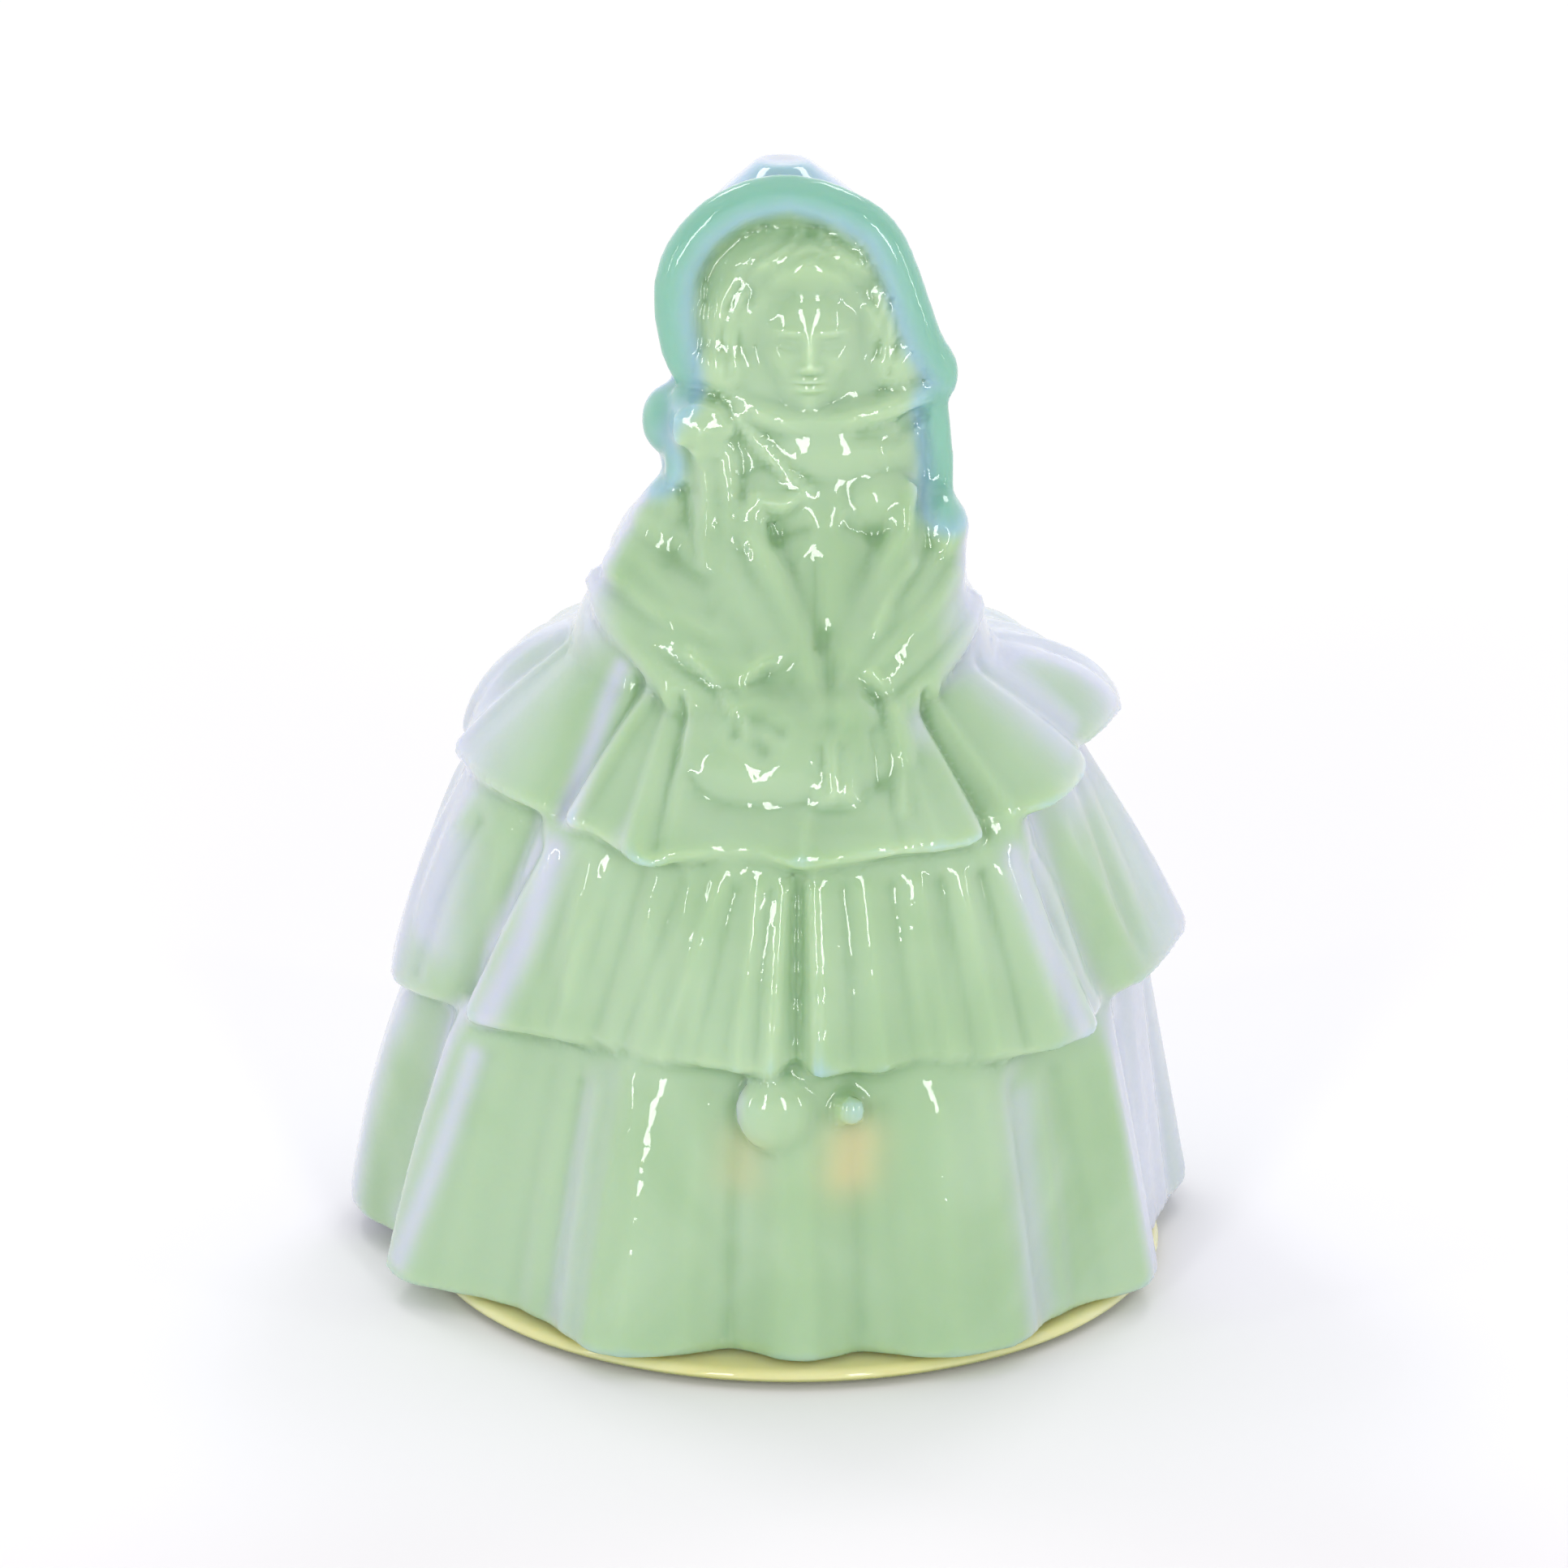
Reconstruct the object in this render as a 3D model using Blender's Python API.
"""Powder jar of pressed opal glass: a hollow crinoline-lady cover standing over a shallow round dish.

Two pieces. The dish has a flat underside, a thin flange and an upstanding ring. The cover is a
figure of a hooded lady in a three-tier skirt; it is hollow from the hem to the bodice, sits on the
dish's flange round the ring, and lifts straight off. The origin is the centre of the dish's
underside, +Z is up, and the figure faces -Y. Lengths below are millimetres, turned to metres by MM.
"""

import math

import bmesh
import bpy
from mathutils import Vector

MM = 0.001

# Driving dimensions
DISH_RADIUS = 51.0
FLANGE_BOTTOM = 0.7
FLANGE_TOP = 2.5
FOOT_RADIUS = 44.5
RING_RADIUS = 42.7
RING_TOP = 13.5
RING_WALL = 2.6
FLOOR_TOP = 3.0
SEAT_GAP = 0.3
HEM_HEIGHT = FLANGE_TOP + SEAT_GAP
FIGURE_TOP = 152.0
CAVITY_TOP = 98.0
HEM_LIP = 1.3
FLOOR_ROWS = 6
MIDDLE_ROWS = 5
HIP_ROWS = 5
TUCK = 0.6  # a tier's top stops this far below the next hem
LIP_DROP = 0.2  # and the next hem's inner edge is this far below its own height
COLUMNS = 96
DISH_COLUMNS = 72

# Hems of the skirt's three tiers: (angle from the front towards +X in degrees, radius, height)
FLOOR_HEM = (
    (-176, 59.0), (-164, 56.8), (-152, 60.2), (-140, 61.0), (-129, 57.2), (-117, 60.0),
    (-104, 62.2), (-94, 62.3), (-86, 57.8), (-74, 58.8), (-66, 56.8), (-58, 51.2),
    (-47, 49.8), (-38, 50.6), (-29, 54.0), (-20, 51.8), (-10, 46.6), (-2, 49.7),
    (4, 49.8), (11, 47.4), (17, 50.6), (25, 53.6), (35, 53.4), (43, 50.6),
    (51, 50.3), (60, 53.6), (72, 53.0), (84, 51.2), (94, 52.8), (104, 57.4),
    (114, 58.2), (125, 55.0), (137, 58.6), (149, 60.4), (160, 57.2), (172, 58.4),
)
MIDDLE_HEM = (
    (-172, 55.0, 38.5), (-158, 52.6, 39.5), (-145, 55.2, 38.5), (-130, 52.4, 39.5),
    (-117, 55.4, 38.5), (-102, 55.6, 38.0), (-87, 54.9, 38.5), (-77, 51.4, 39.3),
    (-69, 47.8, 40.0), (-62, 48.9, 40.3), (-51, 46.8, 41.0), (-41, 44.8, 41.3),
    (-29, 44.6, 42.0), (-20, 45.8, 42.0), (-11, 47.0, 42.0), (-4, 47.6, 42.0),
    (1, 47.0, 42.8), (5, 48.2, 42.2), (13, 47.4, 41.8), (24, 46.8, 42.2),
    (35, 48.0, 41.0), (44, 49.6, 41.0), (52, 50.8, 41.5), (61, 48.0, 43.0),
    (68, 49.5, 43.5), (77, 51.4, 44.0), (88, 53.4, 45.0), (102, 54.4, 43.5),
    (116, 51.0, 41.5), (130, 54.6, 40.0), (145, 52.0, 39.5), (160, 55.0, 38.8), (174, 52.8, 39.2),
)
UPPER_HEM = (
    (-174, 44.5, 70.0), (-160, 47.5, 68.5), (-146, 45.0, 70.0), (-130, 47.5, 69.0),
    (-114, 45.5, 70.5), (-99, 46.0, 71.0), (-84, 45.2, 71.5), (-67, 43.8, 71.0),
    (-51, 42.5, 70.3), (-45, 42.4, 70.5), (-37, 43.0, 70.0), (-31, 44.4, 69.0),
    (-24, 47.0, 68.6), (-19, 44.8, 69.0), (-13, 43.0, 69.5), (-6, 43.3, 70.0),
    (1, 45.2, 69.0), (8, 45.0, 69.6), (15, 45.8, 70.4), (23, 46.2, 70.5),
    (31, 46.5, 70.8), (37, 43.9, 72.0), (45, 46.4, 73.0), (62, 44.4, 74.5),
    (85, 43.4, 76.0), (102, 45.5, 74.0), (116, 43.8, 71.5), (131, 47.0, 70.0),
    (146, 45.0, 70.2), (160, 47.5, 68.8), (173, 45.0, 70.0),
)
MIDDLE_STEP = 3.0
UPPER_STEP = 2.6
PLEAT_SPREAD = 12.0

# How the skirt differs round its axis, by angle: slackness of the figure's left side (+X), fullness
# of the top tier from a plain cone (0) to a puffed dome (1), and the waist's height
LEFT_SLACK = ((-90, 0.0), (-10, 0.0), (40, 0.1), (60, 0.55), (80, 1.0), (120, 1.0), (150, 0.4), (180, 0.0))
MIDDLE_SLACK = 2.6
UPPER_SLACK = 5.0
PUFF = (
    (-180, 1.0), (-140, 0.95), (-110, 0.8), (-93, 0.7), (-84, 0.2), (-75, 0.1), (-40, 0.12),
    (0, 0.16), (40, 0.08), (60, 0.0), (100, 0.0), (115, 0.1), (135, 0.5), (155, 0.9),
)
WAIST_HEIGHT = (
    (-180, 90.0), (-110, 88.5), (-70, 90.2), (-20, 90.2), (40, 89.5), (80, 86.5), (120, 86.5), (150, 88.5),
)
TIER_SWELL = 1.6

# Horizontal outlines above the skirt: (height, centre x, centre y, half width, half depth)
BODY_OUTLINES = (
    (91.0, -1.6, -1.2, 27.2, 23.5),
    (95.0, -1.3, -1.4, 25.0, 21.8),
    (99.0, -0.8, -1.2, 24.0, 20.0),
    (104.0, -0.4, -0.8, 22.2, 17.8),
    (109.0, 1.2, -0.4, 19.2, 15.8),
    (114.5, 1.2, -0.3, 19.2, 15.0),
    (120.0, 1.5, -0.3, 17.8, 14.6),
    (126.0, 1.0, -0.2, 17.2, 14.8),
    (132.0, 0.0, 0.0, 16.8, 15.0),
    (138.0, -0.5, 0.5, 15.6, 14.8),
    (143.5, -0.6, 1.2, 12.4, 13.0),
    (147.8, -0.9, 2.0, 8.4, 10.0),
    (150.6, -1.2, 2.8, 4.8, 6.2),
)
OUTLINE_SQUARENESS = 2.6

# Plunger that presses the hollow: (radius, height), from the mouth up
CAVITY = (
    (43.3, HEM_HEIGHT), (42.2, 14.0), (39.6, 38.0), (35.6, 60.0),
    (29.0, 78.0), (21.0, 89.0), (11.0, 95.8),
)

# Raised forms fused to the figure: (name, start, end, radius at start, radius at end)
LIMBS = (
    ("head", (1.8, -6.5, 137.0), (1.8, -8.0, 130.5), 10.6, 8.8),
    ("hair_left", (-6.5, -9.0, 138.0), (-9.2, -9.5, 128.5), 4.8, 4.6),
    ("hair_right", (9.8, -9.0, 138.0), (12.4, -9.5, 129.0), 4.8, 4.4),
    ("chin_ribbon", (-8.0, -13.2, 122.0), (15.0, -12.4, 123.0), 2.3, 2.3),
    ("hood_corner", (14.3, -7.2, 126.6), (19.4, -8.7, 124.6), 4.5, 2.3),
    ("rosette", (-12.6, -13.5, 118.2), (-12.2, -14.0, 117.2), 4.4, 4.2),
    ("hood_fold_left", (-14.6, -6.0, 118.0), (-15.2, -6.0, 115.4), 4.2, 4.2),
    ("tress", (-10.6, -14.5, 114.0), (-8.8, -19.5, 105.0), 3.4, 3.0),
    ("bust_left", (-4.6, -13.4, 108.6), (-4.0, -13.6, 107.4), 5.2, 5.0),
    ("bust_right", (8.0, -13.4, 108.6), (7.4, -13.6, 107.4), 5.2, 5.0),
    ("shoulder_left", (-13.2, -6.0, 110.0), (-17.4, -9.0, 98.0), 6.0, 7.4),
    ("shoulder_right", (14.8, -6.0, 111.0), (16.6, -9.5, 98.0), 6.0, 7.4),
    ("forearm_left", (-17.0, -15.0, 95.0), (-2.0, -31.0, 84.5), 7.4, 5.6),
    ("forearm_right", (17.0, -15.0, 96.0), (9.0, -31.5, 84.5), 7.4, 5.4),
    ("clasped_hands", (4.6, -33.0, 85.0), (5.2, -38.2, 78.0), 5.4, 4.6),
    ("bow_knot", (-2.4, -45.2, 37.4), (-2.4, -45.6, 36.6), 5.4, 5.4),
)
BRIM_OUTLINE = (
    (15.0, -8.5, 121.5), (18.4, -9.0, 126.0), (16.6, -10.0, 133.0), (14.6, -10.5, 139.0),
    (11.0, -10.5, 144.8), (6.6, -9.8, 147.8), (-0.6, -9.2, 149.6), (-7.0, -9.8, 148.2),
    (-12.0, -10.5, 144.6), (-15.0, -10.5, 138.6), (-15.4, -10.0, 131.6), (-14.4, -9.0, 124.6),
    (-13.6, -8.0, 119.0),
)
BRIM_RADIUS = 2.4
BRIM_SIDES = 8
BRIM_ROLL = 1.6  # how much deeper than wide the brim's section is
LIMB_SIDES = 12
LIMB_RINGS = 8

COVER_COLOUR = (0.42, 0.62, 0.45, 1.0)
DISH_COLOUR = (0.62, 0.62, 0.34, 1.0)


def clear_scene():
    for old in list(bpy.data.objects):
        bpy.data.objects.remove(old, do_unlink=True)


def around(points, angle):
    """Smooth closed curve through points listed by angle: each of their other values, at this angle."""
    count = len(points)
    angle = (angle - points[0][0]) % 360.0 + points[0][0]
    after = next((i for i, point in enumerate(points) if point[0] > angle), count)
    stops = []
    for k in range(after - 2, after + 2):
        turns, i = divmod(k, count)
        stops.append((points[i][0] + 360.0 * turns, points[i][1:]))
    (a0, p0), (a1, p1), (a2, p2), (a3, p3) = stops
    span = a2 - a1
    t = (angle - a1) / span
    values = []
    for v0, v1, v2, v3 in zip(p0, p1, p2, p3):
        slope1 = (v2 - v0) / (a2 - a0) * span
        slope2 = (v3 - v1) / (a3 - a1) * span
        values.append(
            v1 * (2 * t**3 - 3 * t**2 + 1) + slope1 * (t**3 - 2 * t**2 + t)
            + v2 * (3 * t**2 - 2 * t**3) + slope2 * (t**3 - t**2)
        )
    return values


def eased(points, angle):
    """The same curve with its pleats averaged away over a few degrees each side."""
    samples = [around(points, angle + PLEAT_SPREAD * step / 2.0) for step in range(-3, 4)]
    return [sum(column) / len(samples) for column in zip(*samples)]


def polar(angle, radius, height, centre=(0.0, 0.0)):
    """Point at this angle, measured from the front (-Y) towards +X."""
    turn = math.radians(angle)
    return Vector((centre[0] + radius * math.sin(turn), centre[1] - radius * math.cos(turn), height)) * MM


def tier_column(angle, hem, top, low, high, rows, slack):
    """Points up one pleat line of a tier: nearly straight, full at the hem and eased at its top."""
    points = []
    for row in range(rows):
        share = row / (rows - 1)
        swell = TIER_SWELL * (1.0 - slack) * math.sin(math.pi * share)
        points.append((angle, hem + (top - hem) * share + swell, low + (high - low) * share))
    return points


def hip_column(angle, hem, low):
    """Points up one line of the top tier, from its hem to the waist."""
    puff, = around(PUFF, angle)
    waist_height, = around(WAIST_HEIGHT, angle)
    waist = polar_radius(BODY_OUTLINES[0], angle)
    points = []
    for row in range(HIP_ROWS):
        share = row / HIP_ROWS
        quarter = math.pi / 2.0 * share
        outward = (1.0 - puff) * (1.0 - share) + puff * math.cos(quarter)
        upward = (1.0 - puff) * share + puff * math.sin(quarter)
        points.append((angle, waist + (hem - waist) * outward, low + (waist_height - low) * upward))
    return points


def cover_column(angle):
    """Every (angle, radius, height) up one line: from the hollow's top, round the hem, to the waist."""
    floor_hem, = around(FLOOR_HEM, angle)
    middle_hem, middle_low = around(MIDDLE_HEM, angle)
    upper_hem, upper_low = around(UPPER_HEM, angle)
    slack, = around(LEFT_SLACK, angle)
    floor_top = eased(MIDDLE_HEM, angle)[0] - MIDDLE_STEP - MIDDLE_SLACK * slack
    middle_top = eased(UPPER_HEM, angle)[0] - UPPER_STEP - UPPER_SLACK * slack
    column = [(angle, radius, height) for radius, height in reversed(CAVITY)]
    column.append((angle, floor_hem - HEM_LIP, HEM_HEIGHT))
    column += tier_column(
        angle, floor_hem, floor_top, HEM_HEIGHT + HEM_LIP, middle_low - TUCK, FLOOR_ROWS, slack
    )
    column.append((angle, middle_hem - HEM_LIP, middle_low - LIP_DROP))
    column += tier_column(
        angle, middle_hem, middle_top, middle_low + HEM_LIP, upper_low - TUCK, MIDDLE_ROWS, slack
    )
    column.append((angle, upper_hem - HEM_LIP, upper_low - LIP_DROP))
    column += hip_column(angle, upper_hem, upper_low + HEM_LIP)
    return column


def polar_radius(outline, angle):
    """Radius of a body outline, an ellipse drawn a little square, at this angle."""
    _, _, _, width, depth = outline
    turn = math.radians(angle)
    across = abs(math.sin(turn)) / width
    forward = abs(math.cos(turn)) / depth
    return (across**OUTLINE_SQUARENESS + forward**OUTLINE_SQUARENESS) ** (-1.0 / OUTLINE_SQUARENESS)


def closed_loft(name, columns, bottom_pole, top_pole):
    """One closed mesh from equal columns of points: quads between them, and a fan to each pole."""
    mesh = bmesh.new()
    rows = len(columns[0])
    grid = [[mesh.verts.new(point) for point in column] for column in columns]
    first = mesh.verts.new(bottom_pole)
    last = mesh.verts.new(top_pole)
    for i, here in enumerate(grid):
        there = grid[(i + 1) % len(grid)]
        mesh.faces.new((first, there[0], here[0]))
        mesh.faces.new((last, here[-1], there[-1]))
        for row in range(rows - 1):
            mesh.faces.new((here[row], there[row], there[row + 1], here[row + 1]))
    bmesh.ops.recalc_face_normals(mesh, faces=mesh.faces)
    return as_object(name, mesh)


def as_object(name, mesh):
    data = bpy.data.meshes.new(name)
    mesh.to_mesh(data)
    mesh.free()
    made = bpy.data.objects.new(name, data)
    bpy.context.scene.collection.objects.link(made)
    return made


def limb(name, start, end, start_radius, end_radius):
    """A rounded, tapered form from one point to another."""
    start, end = Vector(start) * MM, Vector(end) * MM
    axis = end - start
    length = axis.length
    mesh = bmesh.new()
    bmesh.ops.create_uvsphere(mesh, u_segments=LIMB_SIDES, v_segments=LIMB_RINGS, radius=1.0)
    for vert in mesh.verts:
        at_end = vert.co.z > 0.0
        vert.co *= (end_radius if at_end else start_radius) * MM
        vert.co.z += length if at_end else 0.0
    turn = axis.to_track_quat("Z", "Y").to_matrix()
    bmesh.ops.transform(mesh, matrix=turn.to_4x4(), verts=mesh.verts)
    bmesh.ops.translate(mesh, vec=start, verts=mesh.verts)
    bmesh.ops.recalc_face_normals(mesh, faces=mesh.faces)
    return as_object(name, mesh)


def brim():
    """The hood's rolled front edge, as a bent rod swept round the face."""
    path = [Vector(point) * MM for point in BRIM_OUTLINE]
    mesh = bmesh.new()
    sections = []
    for i, point in enumerate(path):
        along = (path[min(i + 1, len(path) - 1)] - path[max(i - 1, 0)]).normalized()
        side = along.cross(Vector((0.0, 1.0, 0.0))).normalized()
        front = side.cross(along)
        ring = []
        for step in range(BRIM_SIDES):
            turn = math.tau * step / BRIM_SIDES
            reach = side * math.cos(turn) + front * math.sin(turn) * BRIM_ROLL
            ring.append(mesh.verts.new(point + reach * BRIM_RADIUS * MM))
        sections.append(ring)
    for here, there in zip(sections, sections[1:]):
        for step in range(BRIM_SIDES):
            after = (step + 1) % BRIM_SIDES
            mesh.faces.new((here[step], here[after], there[after], there[step]))
    mesh.faces.new(sections[0])
    mesh.faces.new(reversed(sections[-1]))
    bmesh.ops.recalc_face_normals(mesh, faces=mesh.faces)
    return as_object("brim", mesh)


def fuse(target, helper, operation="UNION"):
    """Adds the helper to the target by a live Boolean, and hides the helper."""
    helper.hide_render = True
    helper.display_type = "WIRE"
    boolean = target.modifiers.new(helper.name, "BOOLEAN")
    boolean.object = helper
    boolean.operation = operation
    boolean.solver = "EXACT"


def glass(name, colour):
    material = bpy.data.materials.new(name)
    material.use_nodes = True
    shader = material.node_tree.nodes["Principled BSDF"]
    shader.inputs["Base Color"].default_value = colour
    shader.inputs["Roughness"].default_value = 0.05
    shader.inputs["Metallic"].default_value = 0.0
    shader.inputs["IOR"].default_value = 1.51
    return material


def lady_cover():
    """Skirt, body and hood as one loft round the axis, with the raised forms fused on."""
    columns = []
    for i in range(COLUMNS):
        angle = 360.0 * i / COLUMNS - 180.0
        column = [polar(*point) for point in cover_column(angle)]
        for outline in BODY_OUTLINES:
            height, x, y, _, _ = outline
            column.append(polar(angle, polar_radius(outline, angle), height, (x, y)))
        columns.append(column)
    crown = Vector((-1.2, 3.2, FIGURE_TOP)) * MM
    hollow_top = Vector((0.0, 0.0, CAVITY_TOP)) * MM
    cover = closed_loft("lady_cover", columns, hollow_top, crown)
    for form in LIMBS:
        fuse(cover, limb(*form))
    fuse(cover, brim())
    cover.data.materials.append(glass("opal_green_glass", COVER_COLOUR))
    return cover


def powder_dish():
    """The dish, turned in one pass from its underside round the flange and ring to its floor."""
    ring_inner = RING_RADIUS - RING_WALL
    profile = (
        (FOOT_RADIUS, 0.0), (FOOT_RADIUS + 0.7, FLANGE_BOTTOM), (DISH_RADIUS - 0.8, FLANGE_BOTTOM),
        (DISH_RADIUS, FLANGE_BOTTOM + 0.8), (DISH_RADIUS, FLANGE_TOP - 0.6), (DISH_RADIUS - 0.6, FLANGE_TOP),
        (RING_RADIUS + 0.4, FLANGE_TOP), (RING_RADIUS, FLANGE_TOP + 0.4), (RING_RADIUS - 0.7, RING_TOP - 0.8),
        (RING_RADIUS - 1.3, RING_TOP), (ring_inner + 0.7, RING_TOP), (ring_inner, RING_TOP - 0.8),
        (ring_inner - 0.8, FLOOR_TOP + 2.4), (ring_inner - 3.0, FLOOR_TOP),
    )
    columns = []
    for i in range(DISH_COLUMNS):
        angle = 360.0 * i / DISH_COLUMNS
        columns.append([polar(angle, radius, height) for radius, height in profile])
    floor = Vector((0.0, 0.0, FLOOR_TOP * MM))
    dish = closed_loft("powder_dish", columns, Vector((0.0, 0.0, 0.0)), floor)
    dish.data.materials.append(glass("amber_opal_glass", DISH_COLOUR))
    return dish


def finish_shading(made):
    made.data.shade_smooth()
    made.data.set_sharp_from_angle(angle=math.radians(40.0))


def main():
    clear_scene()
    for made in (lady_cover(), powder_dish()):
        finish_shading(made)


main()
